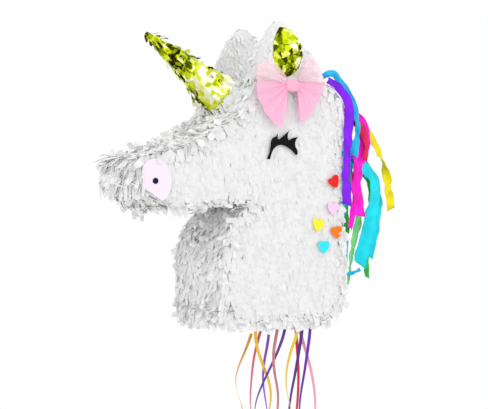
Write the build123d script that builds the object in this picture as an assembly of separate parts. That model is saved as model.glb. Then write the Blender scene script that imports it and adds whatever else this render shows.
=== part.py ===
"""Pull-ribbon pinata in the shape of a unicorn's head.

The head is a flat card box: two side panels joined by bands of card, covered in tissue fringe.
It faces -X, its left side is -Y, and +Z is up. It hangs from the eyelet at the origin.
Millimetres.
"""
from math import hypot, pi, radians, tan
import os

from build123d import *

os.makedirs("parts", exist_ok=True)

# Driving dimensions
HALF_WIDTH = 70.0          # centre plane to the outer face of a side panel
CARD = 3.0                 # corrugated card of the panels and bands
FRINGE = 7.0               # how far the tissue fringe stands off the card
GAP = 0.3                  # clearance between pieces that move apart or curve together
FELT = 1.2                 # felt and crepe trims
TAPE = 1.2                 # paper tape that the mane is glued to
BASE_Z = -367.0            # outer face of the base
CROWN_Z = -1.5             # outer face of the crown
FOLD_BARE = 8.0            # card left without fringe beside a fold

SKIN_Y = HALF_WIDTH + FRINGE
INNER_Y = HALF_WIDTH - CARD

# Trap door in the base, folded at its front edge
DOOR_X = (8.0, 84.0)
DOOR_HALF_Y = 40.0
RELEASE_HOLE = (76.0, -22.0)
RELEASE_HOLE_R = 2.0
WASHER_R = 5.0
WASHER_THICK = 1.0
KNOT_R = 3.0

# Fill flap in the right side, folded at its top edge
FLAP_X = (0.0, 90.0)
FLAP_Z = (-300.0, -230.0)

# Hanging eyelet
EYELET_BORE_R = 3.0
EYELET_FLANGE_R = 7.0
EYELET_WALL = 1.0
EYELET_RIM = 1.5
EYELET_DEPTH = 10.0
HANG_DOWN = (Align.CENTER, Align.CENTER, Align.MAX)

# Horn: a cone that stands on the forehead
HORN_FOOT = Vector(-50, 0, -16)
HORN_TIP = Vector(-182, 0, 74)
HORN_R = 31.0
HORN_TIP_R = 2.0
HORN_CARD = 1.2
HORN_FOIL = 2.5

# Ears
EAR_CARD = 2.0
EAR_DEPTH = 14.0
LEFT_EAR_Y = -66.0         # outer, lined face of the left ear
EAR_TAB_X = (20.0, 60.0)
EAR_TAB_DEEP = 14.0

# Ribbons
RIBBON_WIDTH = 5.0
RIBBON_TOP_Z = BASE_Z - FRINGE


def save(shape, name):
    shape.label = name
    export_step(shape, f"parts/{name}.step")


def save_group(shapes, name):
    """Saves alike pieces as separate solids of one node."""
    save(Compound(children=shapes), name)


def save_pair(left, name):
    """Saves a left piece and its mirror image as one node."""
    save_group([left, mirror(left, about=Plane.XZ)], name)


def box(x_range, y_range, z_range):
    size = [high - low for low, high in (x_range, y_range, z_range)]
    middle = [(high + low) / 2 for low, high in (x_range, y_range, z_range)]
    return Pos(*middle) * Box(*size)


def polygon(points):
    return make_face(Polyline(*points, close=True).edges())


def upright(face, y_low, y_high):
    """Turns a sketch in X and Z upright and makes it solid from y_low to y_high."""
    standing = Plane(origin=(0, y_high, 0), x_dir=(1, 0, 0), z_dir=(0, -1, 0)) * face
    return extrude(standing, amount=y_high - y_low)


# ---------------------------------------------------------------- outline of the head

CROWN_FRONT = (-24, CROWN_Z)
CROWN_BACK = (90, CROWN_Z)
NAPE_TOP = (131, -44)
NAPE_LOW = (129, -325)
BASE_BACK = (92, BASE_Z)
BASE_FRONT = (-80, BASE_Z)
CHEST_TOP = (-82, -274)
THROAT = (-21, -180)
CHIN = (-177, -187)
MUZZLE_LOW = (-219, -161)
MUZZLE_TOP = (-219, -123)


def head_outline():
    edges = [
        Line(CROWN_FRONT, CROWN_BACK),
        ThreePointArc(CROWN_BACK, (116, -15), NAPE_TOP),
        ThreePointArc(NAPE_TOP, (123, -145), (130, -250)),
        Line((130, -250), NAPE_LOW),
        ThreePointArc(NAPE_LOW, (119, -355), BASE_BACK),
        Line(BASE_BACK, BASE_FRONT),
        Line(BASE_FRONT, CHEST_TOP),
        ThreePointArc(CHEST_TOP, (-66, -226), THROAT),
        Line(THROAT, CHIN),
        Line(CHIN, MUZZLE_LOW),
        Line(MUZZLE_LOW, MUZZLE_TOP),
        Line(MUZZLE_TOP, (-160, -108)),
        ThreePointArc((-160, -108), (-104, -82), (-52, -48)),
        Line((-52, -48), CROWN_FRONT),
    ]
    return make_face(edges)


OUTLINE = head_outline()
INSIDE = offset(OUTLINE, -CARD, kind=Kind.ARC)
SKIN = offset(OUTLINE, FRINGE, kind=Kind.ARC)
SKIN_FLOOR = offset(OUTLINE, 0.05, kind=Kind.ARC)

# Each band of the edge is the stretch of the ring inside one of these regions.
REGIONS = {
    "bridge": [(-150, -130), (-60, -100), (-24, -40), (-24, 60), (-150, 60)],
    "crown": [(-24, -40), (104, -40), (104, 60), (-24, 60)],
    "nape": [(104, 60), (104, -40), (60, -180), (104, -330), (104, -420), (220, -420), (220, 60)],
    "base": [(-120, -352), (104, -352), (104, -420), (-120, -420)],
    "chest": [(-160, -352), (-40, -352), (-40, -300), (0, -200), (-21, -180), (-60, -192),
              (-160, -260)],
    "jaw": [(-160, -260), (-60, -192), (-21, -180), (0, -160), (-100, -160), (-190, -172),
            (-190, -260)],
    "muzzle": [(-190, -260), (-190, -172), (-150, -130), (-150, 60), (-300, 60), (-300, -260)],
}
RING = OUTLINE - INSIDE
FRINGE_RING = SKIN - SKIN_FLOOR


def band(name):
    return upright(RING & polygon(REGIONS[name]), -INNER_Y, INNER_Y)


def band_fringe(name):
    return upright(FRINGE_RING & polygon(REGIONS[name]), -SKIN_Y, SKIN_Y)


def hold(distance):
    """A cylinder around the eyelet, to leave room for it."""
    return Cylinder(distance, 6 * EYELET_DEPTH)


# ---------------------------------------------------------------- horn

HORN_AXIS = (HORN_TIP - HORN_FOOT).normalized()
HORN_LENGTH = (HORN_TIP - HORN_FOOT).length
HORN_PLANE = Plane(origin=HORN_FOOT, x_dir=(0, 1, 0), z_dir=HORN_AXIS)


def horn_cone(grow, extra=0.0):
    """The horn's cone, grown outwards, with its foot lengthened into the head by extra."""
    slope = (HORN_R - HORN_TIP_R) / HORN_LENGTH
    foot = HORN_R + grow + slope * extra
    height = HORN_LENGTH + extra
    cone = Cone(foot, HORN_TIP_R + grow, height, align=(Align.CENTER, Align.CENTER, Align.MIN))
    return HORN_PLANE * Pos(0, 0, -extra) * cone


HEAD_BLOCK = upright(offset(OUTLINE, 0.1, kind=Kind.ARC), -SKIN_Y, SKIN_Y)
HORN_EXTRA = 20.0         # the card goes on this far into the head
horn_card = horn_cone(0, HORN_EXTRA) - horn_cone(-HORN_CARD, HORN_EXTRA) - HEAD_BLOCK
horn_foil = horn_cone(0.1 + HORN_FOIL, HORN_EXTRA) - horn_cone(0.1, HORN_EXTRA + 1)
HORN_SOCKET = horn_cone(GAP + HORN_FOIL, HORN_EXTRA)

# ---------------------------------------------------------------- ears


def ear_leaf():
    """The left ear's leaf, from the crown to its tip, drawn in X and Z."""
    tip = (16, 98)
    front = (-34, EAR_FOOT_Z)
    back = (93, EAR_FOOT_Z)
    return make_face([
        Line(front, back),
        ThreePointArc(back, (70, 53), (32, 92)),
        ThreePointArc((32, 92), (24, 98), tip),
        ThreePointArc(tip, (-13, 60), front),
    ])


EAR_FOOT_Z = CROWN_Z + FRINGE + 0.1
LEAF = ear_leaf()
EAR_TAB = box(EAR_TAB_X, (LEFT_EAR_Y + 4, LEFT_EAR_Y + 4 + EAR_CARD),
              (CROWN_Z - EAR_TAB_DEEP, EAR_FOOT_Z + 8))
EAR_SLOT = box((EAR_TAB_X[0] - GAP, EAR_TAB_X[1] + GAP),
               (LEFT_EAR_Y + 4 - GAP, LEFT_EAR_Y + 4 + EAR_CARD + GAP),
               (CROWN_Z - EAR_TAB_DEEP, EAR_FOOT_Z))


def ear_lining_leaf():
    tip, low_front, low_back = (19, 89), (10, 26), (34, 12)
    return make_face([
        ThreePointArc(tip, (7, 58), low_front),
        ThreePointArc(low_front, (19, 15), low_back),
        ThreePointArc(low_back, (60, 40), tip),
    ])


def left_ear():
    card_face = offset(LEAF, -6, kind=Kind.ARC)
    card_face = card_face & polygon([(-50, EAR_FOOT_Z), (150, EAR_FOOT_Z), (150, 150), (-50, 150)])
    card_low, card_high = LEFT_EAR_Y + 4, LEFT_EAR_Y + 4 + EAR_CARD
    card = upright(card_face, card_low, card_high) + EAR_TAB
    lining = upright(ear_lining_leaf(), LEFT_EAR_Y + 0.6, card_low)
    pocket = upright(offset(ear_lining_leaf(), 0.4, kind=Kind.ARC), LEFT_EAR_Y - 1, card_low)
    fringe = upright(LEAF, LEFT_EAR_Y, LEFT_EAR_Y + EAR_DEPTH) - card
    return card, fringe - pocket, lining


# ---------------------------------------------------------------- trims


def heart(size):
    """A heart with its centre at the sketch's origin."""
    lobe = size / 4
    top = size * 0.2
    return make_face([
        ThreePointArc((0, top), (lobe, top + lobe * 0.9), (size / 2, top)),
        ThreePointArc((size / 2, top), (size * 0.36, -size * 0.16), (0, -size / 2)),
        ThreePointArc((0, -size / 2), (-size * 0.36, -size * 0.16), (-size / 2, top)),
        ThreePointArc((-size / 2, top), (-lobe, top + lobe * 0.9), (0, top)),
    ])


HEART_SIZE = 21.0
# Centre and turn of each heart: red, pale pink, yellow, orange and turquoise
HEARTS = [(113, -153, 35), (111, -195, -6), (83, -221, -12), (118, -233, 8), (94, -256, 0)]

# The closed lid and its three lashes, as drawn on the left side
EYELASH = [
    (-11, -118), (-6, -105), (-4, -93), (-1, -87), (3, -84), (6, -83), (8, -78), (8, -87), (12, -87),
    (20, -81), (31, -72), (26, -87), (28, -89), (45, -83), (39, -96), (45, -108), (42, -112),
    (34, -105), (23, -98), (16, -96), (9, -96), (3, -100), (-3, -109), (-6, -119),
]

NOSTRIL = (-204, -154)
NOSTRIL_HALF = (27, 33)
NOSTRIL_DOT_R = 4.5

KNOT = (30, -4)
KNOT_HALF = (9, 8.5)
BOW_LOOPS = [
    [(20, -3), (-32, 4), (-32, 15), (-29, 27), (-16, 33), (0, 27), (20, 3)],
    [(40, 3), (53, 25), (59, 41), (66, 46), (76, 36), (83, 23), (90, 10), (40, -2)],
]
BOW_TAILS = [
    [(20, -4), (-32, -1), (-32, -21), (-24, -36), (-10, -58), (8, -67), (15, -65), (22, -37), (24, -14),
     (20, -14)],
    [(40, -5), (40, -29), (43, -55), (54, -58), (71, -36), (84, -18), (90, 0), (90, 6)],
]


def both_sides(left):
    return {"left": left, "right": mirror(left, about=Plane.XZ)}


# ---------------------------------------------------------------- mane


def strip(points, width):
    """A flat streamer in X and Z that follows a few points, with the same width all along."""
    sides = ([], [])
    for index, point in enumerate(points):
        before = points[max(index - 1, 0)]
        after = points[min(index + 1, len(points) - 1)]
        along = (after[0] - before[0], after[1] - before[1])
        length = hypot(*along)
        normal = (-along[1] / length, along[0] / length)
        for side, sign in zip(sides, (1, -1)):
            side.append((point[0] + sign * normal[0] * width / 2, point[1] + sign * normal[1] * width / 2))
    return polygon(sides[0] + sides[1][::-1])


def hung_strip(lane, width, route):
    return upright(strip(route, width), lane - FELT / 2, lane + FELT / 2)


# name: (Y lane, width, route in X and Z)
STREAMERS = {
    "streamer_blue": (-66, 15, [
        (99, 14), (116, 25), (133, 11), (150, -16), (163, -40), (169, -66), (164, -92), (159, -110)]),
    "streamer_purple": (-79.5, 17, [
        (101, 9), (114, 4), (130, -10), (141, -30), (142, -54), (138, -86), (137, -122), (136, -158),
        (136, -190)]),
    "streamer_magenta": (-57, 22, [
        (148, -35), (168, -45), (184, -62), (189, -84), (184, -103), (175, -124), (171, -150),
        (172, -180), (178, -208)]),
    "streamer_yellow": (-48, 14, [
        (148, -31), (168, -37), (184, -48), (197, -67), (210, -85), (224, -102), (232, -120),
        (238, -142), (240, -162), (246, -198)]),
    "streamer_green": (-35, 15, [
        (148, -66), (172, -86), (194, -104), (206, -124), (212, -146), (216, -176), (214, -210),
        (207, -246), (204, -278), (208, -310)]),
    "streamer_light_green": (-40, 15, [
        (144, -118), (165, -141), (184, -164), (191, -186), (188, -212), (181, -240), (172, -272),
        (167, -298), (166, -318)]),
    "streamer_teal": (-50.5, 24, [
        (149, -92), (168, -109), (190, -127), (207, -142), (213, -164), (211, -188), (205, -214),
        (196, -243), (188, -266), (182, -288)]),
}
LOOSE_STREAMERS = [
    (-29, 22, [(149, -83), (176, -112), (204, -134), (226, -152), (234, -176), (229, -206), (219, -246),
               (213, -274)]),
    (-62.5, 13, [(148, -45), (163, -52), (176, -64), (186, -82), (188, -100), (184, -116)]),
    (-60, 13, [(148, -70), (160, -94), (169, -126), (171, -166), (164, -200), (155, -228)]),
    (-54, 11, [(147, -258), (149, -272), (150, -288), (156, -300), (170, -302), (180, -294)]),
    (66, 16, [(120, 14), (150, -12), (156, -60), (149, -160)]),
    (50, 20, [(149, -40), (178, -70), (176, -130), (168, -210)]),
    (34, 15, [(149, -56), (190, -84), (206, -140), (208, -230)]),
    (16, 24, [(150, -80), (192, -110), (202, -180), (190, -290)]),
    (-6, 17, [(149, -52), (184, -80), (192, -140), (184, -250)]),
]

# ---------------------------------------------------------------- ribbons

# name: route from the base down. Each hangs free to its cut end.
RIBBONS = {
    "ribbon_gold_front": [
        (-8, -33, -375), (-12, -33, -392), (-24, -32, -420), (-37, -31, -446), (-42, -31, -470),
        (-32, -32, -498), (-26, -33, -524), (-36, -34, -556), (-44, -35, -592), (-36, -36, -632),
        (-26, -36, -674), (-32, -35, -716), (-38, -35, -752)],
    "ribbon_gold_back": [
        (-12, -46, -375), (-14, -46, -390), (-11, -46, -412), (0, -45, -440), (13, -45, -468),
        (17, -45, -496), (8, -46, -526), (-6, -46, -556), (-14, -46, -590), (-8, -46, -628),
        (2, -45, -668), (0, -45, -708), (-6, -46, -750)],
    "ribbon_coral": [
        (62, 53, -375), (57, 53, -392), (48, 52, -416), (40, 51, -444), (36, 51, -476),
        (34, 52, -510), (37, 53, -546), (42, 53, -584), (38, 52, -624), (30, 51, -666),
        (32, 51, -710), (38, 51, -754)],
    "ribbon_lilac": [
        (72, 56, -375), (74, 56, -394), (70, 56, -422), (62, 55, -452), (60, 55, -482),
        (66, 56, -512), (72, 57, -544), (70, 57, -580), (60, 56, -618), (56, 56, -660),
        (62, 56, -704), (66, 56, -750)],
    "ribbon_dusty_pink": [
        (20, -61, -375), (16, -61, -394), (10, -61, -422), (12, -61, -452), (20, -61, -484),
        (18, -61, -518), (8, -61, -552), (4, -61, -590), (12, -61, -630), (18, -61, -672),
        (12, -61, -714), (8, -61, -750)],
    "ribbon_violet": [
        (39, -53, -375), (36, -53, -392), (24, -53, -420), (6, -53, -452), (-10, -53, -480),
        (-19, -53, -504), (-17, -53, -534), (-6, -53, -566), (-2, -53, -602), (-12, -53, -640),
        (-20, -53, -680), (-12, -53, -720), (-8, -53, -752)],
    "ribbon_yellow": [
        (57, -62, -375), (54, -62, -394), (42, -62, -420), (34, -62, -448), (33, -62, -476),
        (40, -62, -504), (48, -62, -532), (42, -62, -566), (32, -62, -602), (34, -62, -642),
        (44, -62, -684), (46, -62, -724), (42, -62, -754)],
    "ribbon_plum": [
        (70, -55, -375), (67, -55, -394), (61, -55, -426), (54, -55, -460), (46, -55, -492),
        (42, -55, -524), (46, -55, -560), (54, -55, -598), (52, -55, -640), (44, -55, -684),
        (46, -55, -726), (50, -55, -756)],
    "ribbon_pink": [
        (64, -48, -375), (68, -48, -392), (78, -48, -420), (88, -48, -450), (95, -48, -482),
        (98, -48, -516), (93, -48, -554), (86, -48, -594), (88, -48, -636), (94, -48, -680),
        (90, -48, -724), (86, -48, -756)],
    "ribbon_purple": [
        (79, -62, -375), (78, -62, -394), (73, -62, -424), (67, -62, -458), (60, -62, -490),
        (57, -62, -524), (62, -62, -560), (70, -62, -600), (68, -62, -642), (60, -62, -684),
        (62, -62, -724), (66, -62, -752)],
}
RELEASE_RIBBON = [
    (76, -22, -379), (77, -22, -398), (80, -22, -430), (82, -22, -468), (80, -22, -508),
    (74, -22, -546), (70, -22, -586), (74, -22, -628), (80, -22, -672), (76, -22, -716),
    (72, -22, -756)]


def corner_radii(route):
    """The largest arc that each corner's two runs allow."""
    points = [Vector(*point) for point in route]
    radii = []
    for before, here, after in zip(points, points[1:], points[2:]):
        turn = (here - before).get_angle(after - here)
        shorter = min((here - before).length, (after - here).length)
        radii.append(0.45 * shorter / tan(radians(turn) / 2))
    return radii


def ribbon(name, route):
    """A plain round tube along the ribbon's route."""
    radii = corner_radii(route)
    path = FilletPolyline(*route, radius=radii)
    start = Plane(origin=path @ 0, z_dir=path % 0)
    tube = sweep(start * Circle(RIBBON_WIDTH / 2), path=path)
    share = tube.volume / (pi * (RIBBON_WIDTH / 2) ** 2 * path.length)
    print(name, "length", round(path.length), "least radius", round(min(radii)), "volume", round(share, 3))
    save(tube, name)


# ---------------------------------------------------------------- card

side_panel = upright(OUTLINE, -HALF_WIDTH, -INNER_Y)
save(side_panel, "left_side_panel")
flap_window = box(FLAP_X, (INNER_Y - 1, SKIN_Y + 1), FLAP_Z)
save(mirror(side_panel, about=Plane.XZ) - flap_window, "right_side_panel")

eyelet_hole = hold(EYELET_BORE_R + EYELET_WALL + GAP)
eyelet_room = hold(EYELET_FLANGE_R + 3)
both_slots = EAR_SLOT + mirror(EAR_SLOT, about=Plane.XZ)
door_window = box(DOOR_X, (-DOOR_HALF_Y, DOOR_HALF_Y), (BASE_Z - 1, BASE_Z + CARD + 1))

save(band("bridge"), "bridge_band")
save(band("crown") - eyelet_hole - both_slots, "crown_band")
save(band("nape"), "nape_band")
save(band("chest"), "chest_band")
save(band("jaw"), "jaw_band")
save(band("muzzle"), "muzzle_band")
save(band("base") - door_window, "base_panel")

HANGER_Z = CROWN_Z - CARD
hanger_plate = box((-20, 60), (-45, 45), (HANGER_Z - CARD, HANGER_Z)) - eyelet_hole
save(hanger_plate, "hanger_plate")

barrel = Cylinder(EYELET_BORE_R + EYELET_WALL, EYELET_DEPTH, align=HANG_DOWN)
flange = Cylinder(EYELET_FLANGE_R, EYELET_RIM, align=HANG_DOWN)
eyelet = barrel + flange + Pos(0, 0, EYELET_RIM - EYELET_DEPTH) * flange
save(eyelet - Cylinder(EYELET_BORE_R, 4 * EYELET_DEPTH), "hanging_eyelet")

# ---------------------------------------------------------------- fringe

side_fringe = upright(OUTLINE, -SKIN_Y, -HALF_WIDTH)
flap_fringe_window = box(FLAP_X, (INNER_Y, SKIN_Y + 1), (FLAP_Z[0], FLAP_Z[1] + FOLD_BARE))
save(side_fringe, "left_side_fringe")
save(mirror(side_fringe, about=Plane.XZ) - flap_fringe_window, "right_side_fringe")

fold_strip = box((DOOR_X[0] - FOLD_BARE, DOOR_X[1]), (-DOOR_HALF_Y, DOOR_HALF_Y), (BASE_Z - 20, BASE_Z))
base_fringe = band_fringe("base") - fold_strip
save(base_fringe, "base_fringe")
save(band_fringe("bridge") - HORN_SOCKET, "bridge_fringe")
save(band_fringe("crown") - HORN_SOCKET - eyelet_room - both_slots, "crown_fringe")
save(band_fringe("nape"), "nape_fringe")
save(band_fringe("chest"), "chest_fringe")
save(band_fringe("jaw") + band_fringe("muzzle"), "muzzle_fringe")

# ---------------------------------------------------------------- horn and ears

save(horn_card, "horn_cone")
save(horn_foil - HEAD_BLOCK, "horn_foil_wrap")
for piece, shape in zip(("ear_card", "ear_fringe", "ear_lining"), left_ear()):
    for side, turned in both_sides(shape).items():
        save(turned, f"{side}_{piece}")

# ---------------------------------------------------------------- felt trims and bow

FELT_LOW = -SKIN_Y - FELT
save_pair(upright(polygon(EYELASH), FELT_LOW, -SKIN_Y), "eyelashes")
patch = Pos(*NOSTRIL) * Ellipse(*NOSTRIL_HALF) & offset(OUTLINE, FRINGE - 2, kind=Kind.ARC)
save_pair(upright(patch, FELT_LOW, -SKIN_Y), "nostril_patches")
save_pair(upright(Pos(*NOSTRIL) * Circle(NOSTRIL_DOT_R), FELT_LOW - 1, FELT_LOW), "nostril_dots")
hearts = [Pos(x, z) * Rot(0, 0, turn) * heart(HEART_SIZE) for x, z, turn in HEARTS]
save_group([upright(shape, FELT_LOW, -SKIN_Y) for shape in hearts], "felt_hearts")

BOW_LOW = FELT_LOW - 1
BOW_DEPTH = 12.0
TAIL_DEPTH = 4.0
save_group([upright(polygon(points), BOW_LOW - BOW_DEPTH, BOW_LOW) for points in BOW_LOOPS], "bow_loops")
save_group([upright(polygon(points), BOW_LOW - TAIL_DEPTH, BOW_LOW) for points in BOW_TAILS], "bow_tails")
knot = Pos(*KNOT) * RectangleRounded(2 * KNOT_HALF[0], 2 * KNOT_HALF[1], 4)
save(upright(knot, BOW_LOW - BOW_DEPTH, BOW_LOW), "bow_knot")

# ---------------------------------------------------------------- doors

door_x = (DOOR_X[0] + GAP, DOOR_X[1] - 2 * GAP)
door_y = (-DOOR_HALF_Y + GAP, DOOR_HALF_Y - GAP)
release_x, release_y = RELEASE_HOLE
release_hole = Pos(release_x, release_y, BASE_Z) * Cylinder(RELEASE_HOLE_R, 4 * FRINGE)
save(box(door_x, door_y, (BASE_Z, BASE_Z + CARD)) - release_hole, "trap_door")
door_fringe = box((DOOR_X[0] + FOLD_BARE, door_x[1]), door_y, (BASE_Z - FRINGE, BASE_Z))
save(door_fringe - release_hole, "trap_door_fringe")
washer = Cylinder(WASHER_R, WASHER_THICK) - Cylinder(RELEASE_HOLE_R, WASHER_THICK)
washer_z = BASE_Z + CARD + WASHER_THICK / 2
save(Pos(release_x, release_y, washer_z) * washer, "release_washer")
knot_z = BASE_Z + CARD + WASHER_THICK + KNOT_R
knot_ball = Pos(release_x, release_y, knot_z) * Sphere(KNOT_R)
stem_z = (RIBBON_TOP_Z - 3, knot_z)
stem = box((release_x - 1, release_x + 1), (release_y - 1, release_y + 1), stem_z)
save(knot_ball + stem, "release_knot")

flap_x = (FLAP_X[0] + GAP, FLAP_X[1] - GAP)
flap_z = (FLAP_Z[0] + 2 * GAP, FLAP_Z[1] - GAP)
save(box(flap_x, (INNER_Y, HALF_WIDTH), flap_z), "fill_flap")
flap_fringe_z = (flap_z[0], FLAP_Z[1] - FOLD_BARE)
save(box(flap_x, (HALF_WIDTH, SKIN_Y), flap_fringe_z), "fill_flap_fringe")

# ---------------------------------------------------------------- mane and ribbons

tape_ring = offset(OUTLINE, FRINGE + TAPE, kind=Kind.ARC) - offset(SKIN, 0.1, kind=Kind.ARC)
tape_reach = polygon([(104, 60), (104, -30), (100, -150), (220, -150), (220, 60)])
save(upright(tape_ring & tape_reach, -60, 60), "mane_tape")
for name, streamer in STREAMERS.items():
    save(hung_strip(*streamer), name)
save_group([hung_strip(*streamer) for streamer in LOOSE_STREAMERS], "loose_streamers")

for name, route in RIBBONS.items():
    ribbon(name, route)
ribbon("release_ribbon", RELEASE_RIBBON)
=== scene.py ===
"""Looks of the unicorn pinata: tissue fringe, foil horn, tulle bow, crepe mane and curling ribbons.

Metres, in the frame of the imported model: the head faces -X, its left side is -Y, +Z is up.
"""

import math

import bmesh
import bpy
import numpy as np
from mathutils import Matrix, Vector
from mathutils.bvhtree import BVHTree


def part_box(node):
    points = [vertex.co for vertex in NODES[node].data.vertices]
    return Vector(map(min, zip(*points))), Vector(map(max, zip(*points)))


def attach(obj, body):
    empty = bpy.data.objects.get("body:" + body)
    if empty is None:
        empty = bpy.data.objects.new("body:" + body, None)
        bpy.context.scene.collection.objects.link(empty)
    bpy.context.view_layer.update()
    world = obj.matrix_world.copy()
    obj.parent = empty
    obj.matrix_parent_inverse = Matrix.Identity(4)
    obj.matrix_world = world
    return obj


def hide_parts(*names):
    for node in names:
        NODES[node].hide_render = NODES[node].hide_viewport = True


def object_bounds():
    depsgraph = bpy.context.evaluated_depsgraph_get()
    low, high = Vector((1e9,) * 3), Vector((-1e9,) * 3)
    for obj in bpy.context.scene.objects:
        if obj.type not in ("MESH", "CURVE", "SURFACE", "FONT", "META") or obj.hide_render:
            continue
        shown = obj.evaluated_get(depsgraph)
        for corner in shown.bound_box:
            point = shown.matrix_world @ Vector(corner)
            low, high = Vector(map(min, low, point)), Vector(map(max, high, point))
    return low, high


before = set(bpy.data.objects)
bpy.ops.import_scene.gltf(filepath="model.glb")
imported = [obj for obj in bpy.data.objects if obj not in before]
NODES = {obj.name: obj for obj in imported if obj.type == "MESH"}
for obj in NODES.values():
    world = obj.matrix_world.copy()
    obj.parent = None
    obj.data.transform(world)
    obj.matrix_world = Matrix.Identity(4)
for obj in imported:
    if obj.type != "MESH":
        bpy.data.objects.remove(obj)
cad_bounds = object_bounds()
MM = 0.001

# ---------------------------------------------------------------- small tools


def rgb(code):
    """An sRGB hex colour as linear red, green, blue and alpha."""
    channels = [int(code[i:i + 2], 16) / 255 for i in (1, 3, 5)]
    linear = [c / 12.92 if c <= 0.04045 else ((c + 0.055) / 1.055) ** 2.4 for c in channels]
    return (*linear, 1.0)


def add(tree, kind, settings=None, inputs=None, feeds=None, stops=()):
    """Adds a shader node with its settings and links.

    inputs holds values or other nodes' sockets, and feeds the sockets that its outputs go to.
    stops are a colour ramp's positions and hex colours.
    """
    made = tree.nodes.new(kind)
    for name, value in (settings or {}).items():
        setattr(made, name, value)
    for name, value in (inputs or {}).items():
        if isinstance(value, bpy.types.NodeSocket):
            tree.links.new(value, made.inputs[name])
        else:
            made.inputs[name].default_value = value
    for name, socket in (feeds or {}).items():
        tree.links.new(made.outputs[name], socket)
    for _ in stops[2:]:
        made.color_ramp.elements.new(0.5)
    for number, (position, code) in enumerate(stops):
        made.color_ramp.elements[number].position = position
        made.color_ramp.elements[number].color = rgb(code)
    return made


def new_material(name, **values):
    """A material with one Principled shader; returns the material, its tree and the shader."""
    material = bpy.data.materials.new(name)
    material.use_nodes = True
    shader = material.node_tree.nodes["Principled BSDF"]
    for socket, value in values.items():
        shader.inputs[socket.replace("_", " ")].default_value = value
    return material, material.node_tree, shader


def dress(piece, material):
    """Gives a piece one material."""
    piece.data.materials.clear()
    piece.data.materials.append(material)


def mesh_piece(name, verts, faces, material, smooth=False, tint=None):
    """A new mesh object; tint is one value for each vertex, for the material to read."""
    mesh = bpy.data.meshes.new(name)
    mesh.from_pydata([tuple(v) for v in verts], [], [tuple(f) for f in faces])
    if tint is not None:
        layer = mesh.attributes.new("tint", "FLOAT", "POINT")
        layer.data.foreach_set("value", np.asarray(tint, np.float32))
    mesh.polygons.foreach_set("use_smooth", [smooth] * len(mesh.polygons))
    piece = bpy.data.objects.new(name, mesh)
    bpy.context.collection.objects.link(piece)
    dress(piece, material)
    return piece


# ---------------------------------------------------------------- materials

# A wave pattern at scale 1 has 3.18 bands in each unit, so its scales are divided by about that.


def tissue_paper(name, share_through):
    """White tissue paper, cut in tabs: matt, with wrinkles 3 mm across, no two tabs quite alike."""
    material, tree, shader = new_material(name, Roughness=0.9)
    shader.inputs["Specular IOR Level"].default_value = 0.15
    tint = add(tree, "ShaderNodeAttribute", {"attribute_name": "tint"})
    shade = add(tree, "ShaderNodeValToRGB", inputs={"Fac": tint.outputs["Fac"]},
                feeds={"Color": shader.inputs["Base Color"]},
                stops=[(0.0, "#F4F4F6"), (0.35, "#FBFBFB"), (1.0, "#FFFFFF")])
    place = add(tree, "ShaderNodeTexCoord")
    wrinkle = add(tree, "ShaderNodeTexNoise", inputs={
        "Vector": place.outputs["Object"], "Scale": 1 / (3 * MM), "Detail": 3.0})
    add(tree, "ShaderNodeBump", feeds={"Normal": shader.inputs["Normal"]}, inputs={
        "Height": wrinkle.outputs["Fac"], "Strength": 0.3, "Distance": 0.5 * MM})
    # Thin paper lets part of the light through.
    through = add(tree, "ShaderNodeBsdfTranslucent", inputs={"Color": shade.outputs["Color"]})
    mixed = add(tree, "ShaderNodeMixShader", inputs={"Fac": share_through})
    tree.links.new(shader.outputs["BSDF"], mixed.inputs[1])
    tree.links.new(through.outputs["BSDF"], mixed.inputs[2])
    tree.links.new(mixed.outputs["Shader"], tree.nodes["Material Output"].inputs["Surface"])
    return material


def corrugated_card():
    """Kraft corrugated card: fibres in the liner and faint flutes 5 mm apart under it."""
    material, tree, shader = new_material("kraft_corrugated_card", Roughness=0.85)
    place = add(tree, "ShaderNodeTexCoord")
    fibre = add(tree, "ShaderNodeTexNoise", inputs={
        "Vector": place.outputs["Object"], "Scale": 1 / (2 * MM), "Detail": 6.0})
    add(tree, "ShaderNodeValToRGB", inputs={"Fac": fibre.outputs["Fac"]},
        feeds={"Color": shader.inputs["Base Color"]}, stops=[(0.3, "#A8845A"), (0.7, "#C6A478")])
    flute = add(tree, "ShaderNodeTexWave", {"bands_direction": "X"}, {
        "Vector": place.outputs["Object"], "Scale": 1 / (5 * MM) / 3.2, "Distortion": 0.2})
    add(tree, "ShaderNodeBump", feeds={"Normal": shader.inputs["Normal"]}, inputs={
        "Height": flute.outputs["Fac"], "Strength": 0.3, "Distance": 0.3 * MM})
    return material


def metallised_foil(name, stops):
    """Gold metallised film: a crinkled mirror, whose 9 mm patches go from light to dark, a painted
    reflection of its crinkles.
    """
    material, tree, shader = new_material(name, Metallic=1.0, Roughness=0.22)
    tint = add(tree, "ShaderNodeAttribute", {"attribute_name": "tint"})
    place = add(tree, "ShaderNodeTexCoord")
    crinkle = add(tree, "ShaderNodeTexVoronoi", inputs={
        "Vector": place.outputs["Object"], "Scale": 1 / (9 * MM)})
    patch = add(tree, "ShaderNodeSeparateColor", inputs={"Color": crinkle.outputs["Color"]})
    # Each patch moves the tint lighter or darker: painted reflection of the crinkled film.
    patch_reflection = add(tree, "ShaderNodeMapRange", inputs={
        "Value": patch.outputs["Red"], "To Min": -0.28, "To Max": 0.22})
    tone = add(tree, "ShaderNodeMath", {"operation": "ADD"})
    tree.links.new(tint.outputs["Fac"], tone.inputs[0])
    tree.links.new(patch_reflection.outputs["Result"], tone.inputs[1])
    add(tree, "ShaderNodeValToRGB", inputs={"Fac": tone.outputs["Value"]},
        feeds={"Color": shader.inputs["Base Color"]}, stops=stops)
    add(tree, "ShaderNodeBump", feeds={"Normal": shader.inputs["Normal"]}, inputs={
        "Height": crinkle.outputs["Distance"], "Strength": 0.3, "Distance": 1.5 * MM})
    return material


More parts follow.
